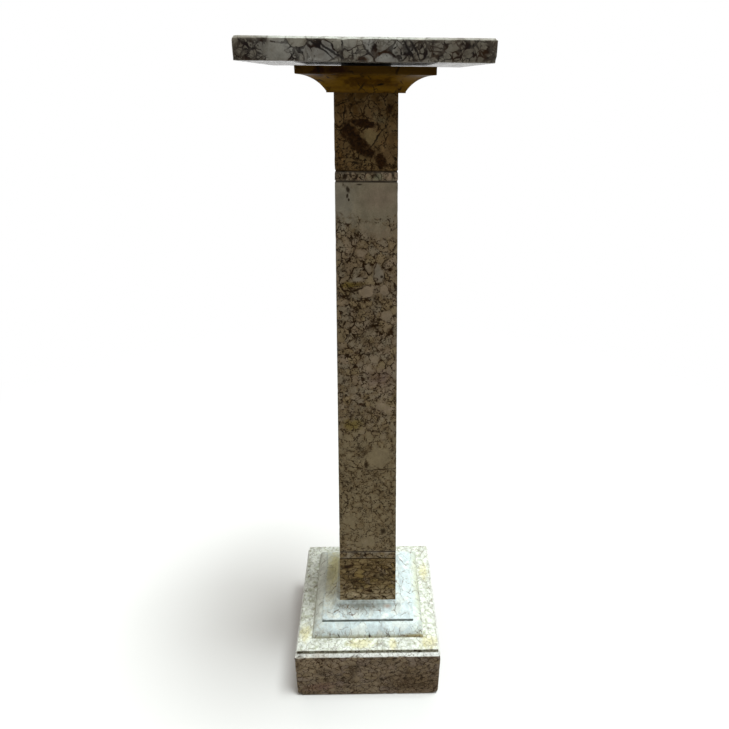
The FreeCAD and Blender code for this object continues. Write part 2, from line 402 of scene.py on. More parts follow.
def fold(tree, operation, first, *others):
    """Several values in one: MAXIMUM keeps the strongest mask, MULTIPLY what lies in all of them."""
    for other in others:
        first = add(tree, "Math", {0: first, 1: other}, operation=operation)[0]
    return first


def weaken(tree, value, where, share):
    """A value that loses a share of itself inside a mask."""
    lost = fold(tree, "MULTIPLY", value, where)
    return add(tree, "Math", {0: lost, 1: -share, 2: value}, **TIMES_PLUS)[0]


def lumps(tree, place, size, low, high, top=1.0, detail=2.0, roughness=0.5):
    """Soft lumps of a size in millimetres: 0 where their noise is under low, top where over high."""
    noisy = {"Vector": place, "Scale": 1 / size, "Detail": detail, "Roughness": roughness}
    noisy = add(tree, "TexNoise", noisy)[0]
    return add(tree, "MapRange", {0: noisy, 1: low, 2: high, 4: top}, **SMOOTH)[0]


def bend(tree, place, size, reach):
    """The place moved about in lumps of a size, up to a reach, both in millimetres."""
    sway = add(tree, "TexNoise", {"Vector": place, "Scale": 1 / size})["Color"]
    sway = add(tree, "VectorMath", {0: sway, 1: (0.5, 0.5, 0.5)}, operation="SUBTRACT")[0]
    return add(tree, "VectorMath", {0: sway, 1: (2 * reach,) * 3, 2: place}, **TIMES_PLUS)[0]


def patches(tree, place, ragged, marks):
    """Ragged patches in the stone as one mask. Each is (centre, radii, softness, tilt) in millimetres.

    The tilt is in degrees, seen from the front, and a patch that stands straight has none.
    """
    masks = []
    for centre, radii, soft, *tilt in marks:
        turn = (0, -math.radians(tilt[0]) if tilt else 0, 0)
        within = {"Vector": place, "Location": centre, "Rotation": turn, "Scale": radii}
        within = add(tree, "Mapping", within, vector_type="TEXTURE")[0]
        far = add(tree, "VectorMath", {0: within}, operation="LENGTH")["Value"]
        far = {0: fold(tree, "ADD", far, ragged), 1: 1 - soft, 2: 1 + soft, 3: 1.0, 4: 0.0}
        masks.append(add(tree, "MapRange", far, **SMOOTH)[0])
    return fold(tree, "MAXIMUM", *masks)


def network(tree, place, cell, width, presence):
    """Veins along the seams between broken clasts. cell and width are millimetres."""
    seam = {"Vector": place, "Scale": 1 / cell}
    far = add(tree, "TexVoronoi", seam, feature="DISTANCE_TO_EDGE")["Distance"]
    far = fold(tree, "DIVIDE", fold(tree, "MULTIPLY", far, cell), width)
    vein = add(tree, "MapRange", {0: far, 1: 0.3, 2: 1.0, 3: 1.0, 4: 0.0}, **SMOOTH)[0]
    return fold(tree, "MULTIPLY", vein, presence)


def marble(name, look, marks):
    """Brecciated marble, sawn and once polished: pale broken clasts in a web of dark, clay-filled veins.

    The eye reads the clasts first, then the brown seams with clots of grit along them, and last the
    ochre and rust that water carried in. Faces that face up are painted paler, with their seams, stains
    and grit thinned: painted light from above, which leaves the upright faces darker as painted shade.
    marks are patches by what they do to the stone, or by their own colour.
    """
    material, tree, shader, place = new_material(name)
    turned = Euler([math.radians(angle) for angle in look["turn"]])
    cut = {"Vector": place, "Location": look["seed"], "Rotation": turned, "Scale": look["squeeze"]}
    block = add(tree, "Mapping", cut)[0]
    bent = bend(tree, block, FOLDS, look["bend"])
    bent = bend(tree, bend(tree, bent, KINKS, 3.2), TREMBLE, 0.75)
    ragged = add(tree, "TexNoise", {"Vector": place, "Scale": 1 / RAGS, "Detail": 3.0})[0]
    ragged = add(tree, "Math", {0: ragged, 1: 1.3, 2: -0.65}, **TIMES_PLUS)[0]

    def marked(kind, on=place):
        return patches(tree, on, ragged, marks[kind]) if kind in marks else 0.0

    # Painted light from above: a mask of the faces that face up, which get a paler colour and thinner
    # seams, stains and grit
    up = add(tree, "SeparateXYZ", {0: add(tree, "NewGeometry")["Normal"]})["Z"]
    wiped = add(tree, "MapRange", {0: up, 1: 0.25, 2: 0.5, 4: look["wiping"]}, **SMOOTH)[0]

    # Where the stone is crushed and where it is whole
    crushed = lumps(tree, block, CRUSHED_ZONES, 0.5 - look["crush"], 0.66 - look["crush"])
    crushed = fold(tree, "MAXIMUM", crushed, marked("crushed"))
    shown = lumps(tree, block, VEINED_ZONES, 0.62 - look["amount"], 0.72 - look["amount"], detail=3.0)
    shown = fold(tree, "MAXIMUM", shown, crushed, marked("veined"))
    clasts = marked("clast")
    whole = fold(tree, "MAXIMUM", clasts, marked("calm"))
    broken = fold(tree, "SUBTRACT", 1.0, whole)
    crushed = fold(tree, "MULTIPLY", crushed, broken)
    shown = fold(tree, "MULTIPLY", shown, broken)

    # Wide seams between the clasts, narrow ones and crumbs where the stone is crushed, and long hairlines
    vein = look["vein"]
    width = add(tree, "TexNoise", {"Vector": block, "Scale": 1 / SWELLING, "Detail": 3.0})[0]
    width = add(tree, "Math", {0: width, 1: 3.6 * vein, 2: -1.05 * vein}, **TIMES_PLUS)[0]
    # Painted top light: seams are narrower on faces that face up
    width = weaken(tree, fold(tree, "MAXIMUM", width, 0.15), wiped, 0.3)
    rim = fold(tree, "MULTIPLY", clasts, fold(tree, "SUBTRACT", 1.0, clasts))
    rim = add(tree, "MapRange", {0: rim, 1: 0.17, 2: 0.25}, **SMOOTH)[0]
    wide = fold(tree, "MAXIMUM", network(tree, bent, look["clast"], width, shown), rim)
    narrow = network(tree, bent, look["fine"], fold(tree, "MULTIPLY", width, 0.6), crushed)
    hair = fold(tree, "MULTIPLY", lumps(tree, block, HAIR_ZONES, 0.42, 0.6, look["hair"]), broken)
    hair = network(tree, bent, look["clast"] * 2.3, look["hairline"], hair)
    ground_down = fold(tree, "MULTIPLY", crushed, lumps(tree, block, DUST_ZONES, 0.5, 0.62))
    crumbs = network(tree, bent, look["fine"] * 0.5, 0.6, ground_down)

    # Clots of grit gather within 4.4 mm of the wide seams and 2 mm of the narrow ones
    by_wide = network(tree, bent, look["clast"], 4.4, shown)
    by_narrow = network(tree, bent, look["fine"], 2.0, crushed)
    beside = fold(tree, "MAXIMUM", by_wide, by_narrow)
    clots = add(tree, "TexNoise", {"Vector": place, "Scale": 1 / CLOTS})[0]
    clots = add(tree, "Math", {0: beside, 1: look["clots"], 2: clots}, **TIMES_PLUS)[0]
    clots = add(tree, "MapRange", {0: clots, 1: 0.67, 2: 0.71}, **SMOOTH)[0]
    within = add(tree, "MapRange", {0: beside, 1: 0.02, 2: 0.3}, **SMOOTH)[0]
    clots = fold(tree, "MULTIPLY", clots, within)

    # Clasts, each with its own tone, under clouds and fine grains
    cell = add(tree, "TexVoronoi", {"Vector": bent, "Scale": 1 / look["clast"]})["Color"]
    tones = add(tree, "SeparateColor", {0: cell})
    toned = add(tree, "Math", {0: broken, 1: 0.75, 2: 0.25}, **TIMES_PLUS)[0]
    second = add(tree, "MapRange", {0: tones[0], 1: 0.2, 2: 0.9}, **SMOOTH)[0]
    warm = add(tree, "MapRange", {0: tones[1], 1: 0.55, 2: 0.95, 4: look["warmth"]}, **SMOOTH)[0]
    ground = layered(
        tree,
        look["ground"],
        (look["second"], fold(tree, "MULTIPLY", second, toned)),
        (look["warm"], fold(tree, "MULTIPLY", warm, toned)),
        # Painted top light: faces that face up take the paler colour
        (look["wiped"], fold(tree, "MULTIPLY", wiped, 0.97)),
        *((kind, marked(kind)) for kind in marks if kind.startswith("#")),
    )
    cloudy = {"Vector": block, "Scale": 1 / CLOUDS, "Detail": 6.0, "Roughness": 0.62}
    grainy = {"Vector": place, "Scale": 1 / GRAINS, "Detail": 3.0, "Roughness": 0.7}
    clouds, grains = add(tree, "TexNoise", cloudy)[0], add(tree, "TexNoise", grainy)[0]
    for cloud, low, high in ((clouds, *look["cloudy"]), (grains, 0.86, 1.14)):
        shade = add(tree, "MapRange", {0: cloud, 1: 0.3, 2: 0.7, 3: low, 4: high})[0]
        ground = add(tree, "VectorMath", {0: ground, "Scale": shade}, operation="SCALE")[0]

    # Clay and rust that seeped in
    browned = fold(tree, "MULTIPLY", beside, lumps(tree, block, STAINS, 0.38, 0.6, look["browning"], 3.0))
    seep = add(tree, "TexNoise", {"Vector": block, "Scale": 1 / SEEPAGE, "Detail": 3.0})["Color"]
    seep = {0: seep, 1: 0.74 - look["ochre"], 2: 0.9 - look["ochre"], 4: 0.6}
    clay = fold(tree, "MULTIPLY", marked("ochre"), look["clayed"])
    rusty = marked("rust")
    reddened = fold(tree, "MULTIPLY", rusty, lumps(tree, place, BLOTCHES, 0.1, 0.5, 1.0, 4.0, 0.7))
    blackened = fold(tree, "MULTIPLY", rusty, lumps(tree, place, BLOTCHES, 0.46, 0.62, 0.8, 4.0, 0.7))
    ground = layered(
        tree,
        ground,
        # Painted top light: the brown stain is thinned on faces that face up
        (look["stain"], weaken(tree, browned, wiped, 0.88)),
        (look["clay"], fold(tree, "MAXIMUM", add(tree, "MapRange", seep, **SMOOTH)[0], clay)),
        (look["rust"], reddened),
        (look["dark"], blackened),
    )

    # Dark grit along the seams
    grit = add(tree, "TexVoronoi", {"Vector": bent, "Scale": 1 / GRIT})
    speck = add(tree, "MapRange", {0: grit["Distance"], 1: 0.12, 2: 0.22, 3: 1.0, 4: 0.0})[0]
    chosen = add(tree, "SeparateColor", {0: grit["Color"]})[0]
    chosen = {0: chosen, 1: 0.8 - look["grit"], 2: 0.9 - look["grit"]}
    near = fold(tree, "MAXIMUM", crushed, lumps(tree, block, CRUSHED_ZONES, 0.4, 0.6, 0.6))
    speck = fold(tree, "MULTIPLY", speck, add(tree, "MapRange", chosen, **SMOOTH)[0], near, broken)
    cracks = marked("crack", bend(tree, place, KINKS, 3.0))
    # The level marks among the spots are painted shade along the shaft's V grooves
    speck = fold(tree, "MAXIMUM", speck, clots, marked("spot_and_groove_shade"), cracks)
    # Painted top light: grit and spots are thinned on faces that face up
    speck = weaken(tree, speck, wiped, 0.75)

    # The seams fade and darken again along their run, and on faces that face up they are painted thinner
    # and paler, as painted light from above
    faded = add(tree, "TexNoise", {"Vector": place, "Scale": 1 / FADING, "Detail": 3.0})[0]
    faded = add(tree, "MapRange", {0: faded, 1: 0.4, 2: 0.56, 3: look["faint"]})[0]
    finest = weaken(tree, fold(tree, "MAXIMUM", narrow, crumbs), wiped, 0.7)
    seams = fold(tree, "MULTIPLY", fold(tree, "MAXIMUM", wide, finest, hair), faded)
    seams = weaken(tree, weaken(tree, seams, marked("soft"), 0.22), wiped, 0.42)
    rusted = lumps(tree, block, RUSTING, 0.4, 0.7, 0.6)
    brown = layered(
        tree, look["seam"], (look["rust"], rusted), (look["stain"], fold(tree, "MULTIPLY", wiped, 0.5))
    )

    # Rubbed and chipped arrises show paler, rougher stone
    wear = add(tree, "Attribute", attribute_name="wear")["Fac"]
    stone_colour = layered(
        tree,
        ground,
        (brown, seams),
        (look["dark"], fold(tree, "MULTIPLY", speck, 0.9)),
        (look["bare"], fold(tree, "MULTIPLY", wear, 0.45)),
    )
    sunk = fold(tree, "MAXIMUM", seams, speck)
    height = add(tree, "Math", {0: grains, 1: 0.16, 2: clouds}, **TIMES_PLUS)[0]
    height = add(tree, "Math", {0: sunk, 1: -0.55, 2: height}, **TIMES_PLUS)[0]
    bright, dull = look["polish"]
    rough = add(tree, "MapRange", {0: clouds, 1: 0.3, 2: 0.7, 3: bright, 4: dull})[0]
    rough = add(tree, "Math", {0: sunk, 1: 0.18, 2: rough}, **TIMES_PLUS)[0]
    rough = add(tree, "Math", {0: wear, 1: 0.25, 2: rough}, **TIMES_PLUS)[0]
    surface(tree, shader, stone_colour, rough, height, 0.5, 0.4)
    shader.inputs["IOR"].default_value = 1.5
    shader.inputs["Specular IOR Level"].default_value = look["shine"]
    return material


def stone_look(**changes):
    """The shaft's brown-veined marble, with what one stone does differently.

    seed, turn and squeeze place the stone in its quarry block. clast, fine, vein, hairline and bend are
    millimetres. amount, crush, ochre, grit and clots say how much of a thing there is, and hair,
    faint, clayed, browning, warmth and toplighting how strongly it shows, toplighting being how
    strongly the faces that face up are painted paler, as painted light from above.
    """
    tones = bpy.context.scene.pedestal_colours
    look = {
        "seed": (0.0, 0.0, 0.0),
        "turn": (12, 8, 20),
        "squeeze": (1.0, 1.0, 1.0),
        "bend": 7.0,
        "clast": 17.0,
        "fine": 6.5,
        "vein": 1.3,
        "amount": 0.16,
        "crush": 0.02,
        "hair": 0.6,
        "hairline": 1.1,
        "faint": 0.55,
        "ochre": 0.06,
        "grit": 0.2,
        "clots": 0.09,
        "clayed": 0.8,
        "browning": 0.5,
        "warmth": 0.6,
        "wiping": 0.0,
        "cloudy": (0.78, 1.2),
        "polish": (0.32, 0.46),
        "shine": 0.045,
        "ground": tones.cream,
        "second": tones.grey,
        "warm": tones.buff,
        "wiped": tones.pale,
        "stain": tones.stain,
        "clay": tones.ochre,
        "rust": tones.rust,
        "seam": tones.umber,
        "dark": tones.umber,
        "bare": tones.bare,
    }
    return look | changes


def onyx(name):
    """Honey onyx, turned to a moulding and polished: level bands of brown and amber with dark seams."""
    material, tree, shader, place = new_material(name)
    tones = bpy.context.scene.pedestal_colours
    # Bands about 9 mm high that run level through the stone
    level = add(tree, "VectorMath", {0: place, 1: (0.12, 0.12, 1.0)}, operation="MULTIPLY")[0]
    bands = add(tree, "TexNoise", {"Vector": level, "Scale": 1 / 9.0, "Detail": 4.0, "Roughness": 0.6})[0]
    bands = add(tree, "MapRange", {0: bands, 1: 0.35, 2: 0.65})[0]
    height = add(tree, "SeparateXYZ", {0: place})["Z"]
    # Painted shade: the upright abacus at the top is painted darker than the hollow below it
    plate = add(tree, "MapRange", {0: height, 1: 1004.5, 2: 1007.0, 4: 0.7})[0]
    sway = add(tree, "TexNoise", {"Vector": place, "Scale": 1 / 14.0, "Detail": 3.0})["Color"]
    bent = add(tree, "VectorMath", {0: sway, 1: (18, 18, 18), 2: place}, **TIMES_PLUS)[0]
    seamed = add(tree, "TexNoise", {"Vector": place, "Scale": 1 / 18.0, "Roughness": 0.6})[0]
    seamed = add(tree, "MapRange", {0: seamed, 1: 0.45, 2: 0.6, 4: 0.8})[0]
    ragged = {"Vector": place, "Scale": 1 / RAGS, "Detail": 3.0, "Roughness": 0.6}
    ragged = add(tree, "Math", {0: add(tree, "TexNoise", ragged)[0], 1: 1.2, 2: -0.6}, **TIMES_PLUS)[0]
    stains = [((-32, -70, 1011), (13, 26, 5.5), 0.5), ((-52, -74, 1010), (7, 22, 6), 0.4)]
    cracks = [
        ((-52, -78, 1011), (1.6, 14, 7), 0.5, 8),
        ((-6, -60, 993), (1.3, 14, 6), 0.5, -40),
        ((17, -52, 997), (4, 12, 1.2), 0.5, 10),
    ]
    wear = add(tree, "Attribute", attribute_name="wear")["Fac"]
    stone_colour = layered(
        tree,
        "#65440E",
        (tones.honey, bands),
        ("#40240A", lumps(tree, place, 22.0, 0.5, 0.66, 0.7, 4.0, 0.6)),
        # Painted shade on the abacus
        ("#40280B", plate),
        ("#23150B", network(tree, bent, 30.0, 1.3, seamed)),
        ("#33190A", patches(tree, place, ragged, stains)),
        ("#1D120A", patches(tree, place, ragged, cracks)),
        ("#8A6B34", fold(tree, "MULTIPLY", wear, 0.4)),
    )
    rough = add(tree, "MapRange", {0: bands, 3: 0.28, 4: 0.4})[0]
    pits = add(tree, "TexNoise", {"Vector": place, "Scale": 1 / 3.0, "Detail": 4.0, "Roughness": 0.6})[0]
    surface(tree, shader, stone_colour, rough, pits, 0.35, 0.3)
    shader.inputs["IOR"].default_value = 1.5
    shader.inputs["Specular IOR Level"].default_value = 0.025
    return material


def plain_finish(name, light, dark, size, metallic, shine, relief):
    """Two close tones in lumps of a size in millimetres. shine is the lowest and highest roughness."""
    material, tree, shader, place = new_material(name)
    noisy = {"Vector": place, "Scale": 1 / size, "Detail": 5.0, "Roughness": 0.65}
    relieved = add(tree, "TexNoise", noisy)[0]
    share = add(tree, "MapRange", {0: relieved, 1: 0.35, 2: 0.65})[0]
    rough = add(tree, "MapRange", {0: share, 3: shine[1], 4: shine[0]})[0]
    tone = layered(tree, dark, (light, share))
    surface(tree, shader, tone, rough, relieved, 0.5, relief)
    shader.inputs["Metallic"].default_value = metallic
    return material


def give(piece, material):
    """Lays one material over a whole piece."""
    slots = piece.material_slots
    if not slots:
        piece.data.materials.append(material)
        return
    for slot in slots:
        slot.link = "OBJECT"
        slot.material = material


# ---------------------------------------------------------------- marks in the stones


def level(height, reach, softness):
    """A patch that runs level through a whole stone."""
    return (0, 0, height), (500, 500, reach), softness


# What marks each stone, placed in millimetres from the middle of the pedestal's foot. crushed and veined
# bring out the web of seams, calm and clast keep it away, soft thins it, and ochre, rust, spots and crack
# colour it. A hex value is stone of another colour, and the level spots along the shaft's grooves are
# painted shade, as are the hex values noted as painted light or shade. Each patch is (centre, radii,
# softness, tilt).
PLINTH_MARKS = {
    # Painted light: the leaning splay is painted nearly white
    "#FBFDFA": [level(106, 3.6, 0.2)],
    # Painted shade: the upright step between the splay and the shelf is painted grey
    "#BCC0AC": [level(112.6, 3.2, 0.2)],
    "ochre": [
        ((108, -108, 116), (15, 12, 8), 0.6), ((-12, -110, 116), (20, 9, 8), 0.6),
        ((44, -112, 116), (6, 14, 8), 0.5), ((-112, -88, 116), (9, 18, 8), 0.6),
        ((112, 52, 116), (7, 18, 8), 0.7),
    ],
    "#927668": [((-88, -127, 24), (26, 10, 10), 0.7, 10)],
    "#8A765E": [((86, -127, 34), (44, 10, 30), 0.8)],
    "#B09C82": [((-92, -127, 84), (34, 10, 18), 0.8)],
    "crack": [((78, -127, 28), (24, 8, 0.9), 0.5, 3)],
    "spot_and_groove_shade": [
        ((52, -127, 40), (3, 8, 1.6), 0.5, 20), ((66, -127, 46), (1.6, 8, 1.6), 0.5),
        ((98, -127, 82), (1.6, 8, 2.4), 0.5),
    ],
}

OVOLO_MARKS = {
    # Painted shade: the left side, where the slab's shadow falls, is painted greyer
    "#CCCEC4": [((-96, 30, 126), (34, 130, 30), 0.5)],
    # Painted shade: a darker band along the upright foot of the bulge, next to the plinth
    "#B4B19A": [level(115.5, 5.5, 0.8)],
    "veined": [level(116, 11, 0.6), ((88, -92, 124), (16, 12, 10), 0.5)],
    "crack": [
        ((3, -98, 121), (1.0, 10, 7), 0.5, 4), ((34, -96, 121), (0.8, 10, 7), 0.5, -24),
        ((38, -96, 120), (0.8, 10, 6), 0.5, 20), ((-52, -96, 121), (0.7, 10, 6), 0.5, 16),
    ],
    "spot_and_groove_shade": [((3, -99, 121), (1.8, 10, 3.4), 0.6)],
    # Painted light: a paler strip along the lit right side
    "#D9DEC8": [((90, 20, 127), (12, 100, 8), 0.8)],
    "#A89B72": [((82, -97, 119), (22, 12, 4), 0.7)],
}

CAVETTO_MARKS = {
    # Painted shade: the left side, where the slab's shadow falls, is painted greyer and warmer
    "#CACABC": [((-72, 10, 150), (22, 70, 22), 0.6)],
    "#C4BF96": [((-66, 36, 152), (18, 50, 14), 0.7)],
    # Painted shade: the upright fillet is painted dark grey
    "#6C736F": [level(138.7, 3.2, 0.2)],
    # Painted shade: darker grey at the top of the front, beside the shaft's foot
    "#7F837E": [((-12, -61, 154), (48, 15, 6.5), 0.9)],
    "veined": [((-26, -66, 149), (34, 14, 9), 0.6)],
    "#B3A398": [((36, -64, 152), (6, 7, 2.4), 0.9)],
}

SHAFT_MARKS = {
    "foot_block": {
        "spot_and_groove_shade": [
            # The level mark is painted shade in the V groove
            level(255.3, 0.7, 0.3), ((46, -49, 222), (2.2, 9, 3.4), 0.5),
            ((40, -49, 232), (3.2, 9, 2.0), 0.5),
        ],
        "#BBA98A": [level(160, 20, 0.7)],
        "crack": [((0, -49, 208), (36, 9, 1.0), 0.5, 3), ((-8, -49, 196), (18, 9, 0.9), 0.5, -6)],
        "rust": [((-34, -49, 238), (10, 9, 5), 0.6, 20)],
    },
    "main_shaft": {
        "calm": [
            ((2, -42, 866), (62, 34, 30), 0.3), ((18, -46, 468), (19, 16, 19), 0.2, -20),
            ((22, -46, 562), (11, 14, 8), 0.5, -14), ((-28, -48, 342), (9, 14, 12), 0.5),
            ((0, -48, 294), (15, 14, 9), 0.5), ((10, -43, 828), (26, 14, 9), 0.7, -14),
            ((-13, -43, 760), (8, 14, 3), 0.4, 8),
        ],
        "#A49A86": [((4, -42, 862), (60, 30, 36), 0.6)],
        "#A9A294": [((-34, -41, 868), (16, 14, 34), 0.9)],
        "#AA9A88": [((18, -41, 868), (20, 12, 14), 0.9)],
        "#A4998A": [((16, -43, 769), (6.5, 12, 12), 0.6, 12), ((-13, -43, 760), (9, 12, 3), 0.7, 8)],
        "#8A783C": [((-19, -43, 752.5), (15, 10, 3.2), 0.7, 4)],
        "#9A8478": [((20, -45, 610), (16, 12, 12), 0.8)],
        "soft": [level(420, 185, 0.12)],
        "#9E8E72": [level(400, 140, 0.4)],
        "spot_and_groove_shade": [
            # The two level marks are painted shade in the V grooves
            level(272.3, 0.7, 0.3), level(887.0, 0.7, 0.3),
            ((20, -43, 764), (1.8, 8, 1.8), 0.5), ((-23.5, -41, 878), (2.4, 8, 4.2), 0.5, 20),
            ((-24.5, -41, 870), (1.2, 8, 2.6), 0.5, -10), ((-22.5, -41, 865), (1.1, 8, 1.6), 0.5),
            ((-9, -41, 884), (4.0, 8, 0.9), 0.5), ((16.6, -44, 701.7), (3.4, 12, 2.4), 0.5),
            ((21, -44, 715), (2, 12, 1.8), 0.5), ((34, -44, 721.5), (2.6, 12, 2), 0.5),
            ((14, -45, 684), (2.4, 12, 1.8), 0.5), ((26, -49, 318), (5, 12, 6), 0.6),
            ((-2, -47, 455), (3, 12, 6), 0.6),
        ],
        "clast": [
            ((0, -43, 743), (11, 14, 10), 0.25), ((16, -43, 769), (6.5, 14, 12), 0.25, 12),
            ((24, -43, 745), (6, 14, 8), 0.25, 20), ((27, -44, 708), (8, 14, 9), 0.3, 10),
        ],
        "crack": [
            ((-12, -43, 746), (11, 10, 1.2), 0.5, 24), ((-28, -43, 737), (1.6, 10, 6), 0.5, 18),
            ((24, -47, 446), (20, 12, 0.9), 0.5, 4),
        ],
        "ochre": [((-25, -43, 753), (8, 10, 4), 0.6), ((-22, -46, 530), (14, 10, 9), 0.6, 20)],
        "crushed": [
            ((-12, -44, 716), (22, 14, 10), 0.5, 10), ((-10, -44, 672), (22, 14, 7), 0.7, -6),
            ((-26, -45, 640), (14, 14, 10), 0.5),
        ],
        "rust": [((34, -46, 684), (5, 12, 5), 0.6), ((-10, -46, 566), (4, 12, 2.4), 0.6, 10)],
    },
    "lower_band": {
        # The level marks are painted shade in the V grooves
        "spot_and_groove_shade": [level(270.9, 0.8, 0.3), level(256.6, 0.4, 0.3)],
    },
    "upper_band": {
        "spot_and_groove_shade": [
            # The two level marks are painted shade in the V grooves
            level(899.0, 0.7, 0.3), level(888.0, 0.5, 0.3),
            ((-27, -41, 893), (3, 10, 4), 0.5), ((-20, -41, 896), (1.6, 10, 4), 0.5, 10),
            ((-12, -41, 893), (1.4, 10, 4), 0.5, -20),
        ],
        "#A8A58C": [((14, -41, 893), (9, 10, 5), 0.6)],
    },
    "neck_block": {
        # The level mark is painted shade in the V groove
        "spot_and_groove_shade": [level(900.2, 0.7, 0.3)],
        "rust": [
            ((-4, -41, 955), (18, 12, 4.6), 0.2, -8), ((-22, -41, 946), (9, 12, 9.5), 0.25),
            ((-9, -41, 932), (25, 12, 8.5), 0.2, -42), ((17, -41, 911), (6.5, 12, 9), 0.25, 10),
            ((28, -41, 971), (4, 12, 5), 0.5),
        ],
        "#8F7B58": [((5, -41, 939), (10, 10, 9), 0.4, -30)],
        "#8E8468": [((19, -41, 962), (9, 10, 7), 0.6)],
        "#8A7450": [((-4, -41, 913), (20, 10, 7), 0.7, -14)],
        "crushed": [level(905, 5, 0.6), ((22, -41, 962), (10, 10, 8), 0.4)],
        # Painted shade: the neck darkened towards its top, under the capital and the slab
        "#5E4520": [((0, -41, 990), (80, 80, 18), 0.7), ((30, -41, 968), (14, 12, 12), 0.8)],
        "calm": [((5, -41, 939), (9, 10, 8), 0.3, -30)],
        "crack": [
            ((14, -41, 939), (1.0, 10, 16), 0.4, -35), ((-26, -41, 966), (0.8, 10, 10), 0.4, -2),
            ((-14, -41, 910), (8, 10, 0.9), 0.4, -12), ((-30, -41, 976), (7, 10, 0.7), 0.4, 20),
        ],
    },
}

SLAB_MARKS = {
    "#7D766B": [((-124, -134, 1027), (24, 7, 30), 0.9)],
    "#857E72": [((110, -134, 1027), (54, 7, 30), 0.8)],
    "crushed": [((-119, -132, 1029), (19, 9, 20), 0.4), ((100, -132, 1029), (42, 9, 20), 0.4)],
    "calm": [((-90, -132, 1026), (12, 14, 9), 0.25)],
    "rust": [((-3, -132, 1020), (6, 12, 3.0), 0.5)],
    "crack": [
        ((43, -132, 1030), (1.3, 12, 14), 0.4, 28), ((50, -132, 1029), (1.0, 12, 13), 0.4, 30),
        ((-38, -132, 1030), (1.3, 12, 21), 0.4, 58), ((-46, -132, 1030), (1.0, 12, 17), 0.4, 56),
    ],
}


# ---------------------------------------------------------------- pieces


class PEDESTAL_OT_plinth(bpy.types.Operator):
    """Cuts the plinth with its splayed and stepped edge"""

    bl_idname = "pedestal.plinth"
    bl_label = "Plinth"

    def execute(self, context):
        sizes = context.scene.pedestal_sizes
        tones = context.scene.pedestal_colours
        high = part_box("plinth_block")[1]
        half, top = high.x, high.z
        splay_head = top - sizes.step_height
        outline = [
            (half - sizes.foot_bevel, 0.0),
            (half, sizes.foot_bevel),
            (half, splay_head - sizes.splay_height),
            (half - sizes.splay_run, splay_head),
            (half - sizes.splay_run, top),
        ]
        under = [
            (sizes.bore_radius, sizes.recess_height),
            (sizes.recess_radius, sizes.recess_height),
            (sizes.recess_radius, 0.0),
        ]
        dents = [
            ((-half, -half, 0.0), 9 * MM, 3.2 * MM),
            ((half, -half, 2 * MM), 8 * MM, 2.8 * MM),
            ((half, -half, 100 * MM), 5 * MM, 1.5 * MM),
            ((-half, half, 60 * MM), 6 * MM, 1.8 * MM),
            ((half, half, 1 * MM), 8 * MM, 3.0 * MM),
        ]
        piece = stone(
            "plinth", ["plinth_block"], "pedestal", outline, sizes,
            under=under, over=[(sizes.bore_radius, top)], dents=dents,
        )
        # The plinth's faces that face up are painted pale, as painted light from above
        look = stone_look(
            seed=(310, 40, 12), turn=(4, 18, 0), squeeze=(0.9, 0.9, 1.1), clast=11.0, fine=5.5, vein=1.1,
            amount=0.36, crush=0.08, ochre=0.02, browning=0.4, ground="#A3917A", warm="#9A876A",
            second="#9A897A", clay=tones.straw, clayed=0.55, wiping=1.0, faint=0.45,
        )
        give(piece, marble("Plinth marble, sawn and dulled", look, PLINTH_MARKS))
        return {"FINISHED"}


class PEDESTAL_OT_tiers(bpy.types.Operator):
    """Cuts the bulging tier and the hollow tier under the shaft"""

    bl_idname = "pedestal.tiers"
    bl_label = "Moulded tiers"

    def execute(self, context):
        sizes = context.scene.pedestal_sizes
        tones = context.scene.pedestal_colours
        bore = sizes.bore_radius
        low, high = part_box("ovolo_tier")
        fillet_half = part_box("cavetto_tier")[1].x
        foot = (high.x, low.z)
        outline = [foot, *ovolo(foot, (fillet_half, high.z), CURVE_STEPS)]
        piece = stone(
            "ovolo_tier_stone", ["ovolo_tier"], "pedestal", outline, sizes,
            under=[(bore, low.z)], over=[(bore, high.z)],
        )
        pale = {
            "ground": tones.white, "second": tones.white, "warm": tones.pale, "bare": tones.white,
            "clay": tones.straw, "stain": "#A9A394", "seam": "#6A5A4A", "rust": "#6E5540",
            "ochre": 0.0, "vein": 0.55, "browning": 0.25, "clots": -0.2, "grit": -0.3,
            "faint": 0.35, "hair": 0.9, "hairline": 0.8, "crush": -0.3,
        }
        look = stone_look(seed=(80, 210, 5), squeeze=(1.1, 1.1, 0.55), clast=12.0, amount=0.02, **pale)
        give(piece, marble("White marble, moulded, bulging tier", look, OVOLO_MARKS))

        low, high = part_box("cavetto_tier")
        arris = (high.x, low.z + sizes.fillet_height)
        ledge_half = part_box("foot_block")[1].x + sizes.ledge
        outline = [(high.x, low.z), arris, *cavetto(arris, (ledge_half, high.z), CURVE_STEPS)]
        piece = stone(
            "cavetto_tier_stone", ["cavetto_tier"], "pedestal", outline, sizes,
            under=[(bore, low.z)], over=[(bore, high.z)],
        )
        look = stone_look(seed=(15, 90, 140), clast=9.0, amount=0.0, **pale)
        give(piece, marble("White marble, moulded, hollow tier", look, CAVETTO_MARKS))
        return {"FINISHED"}


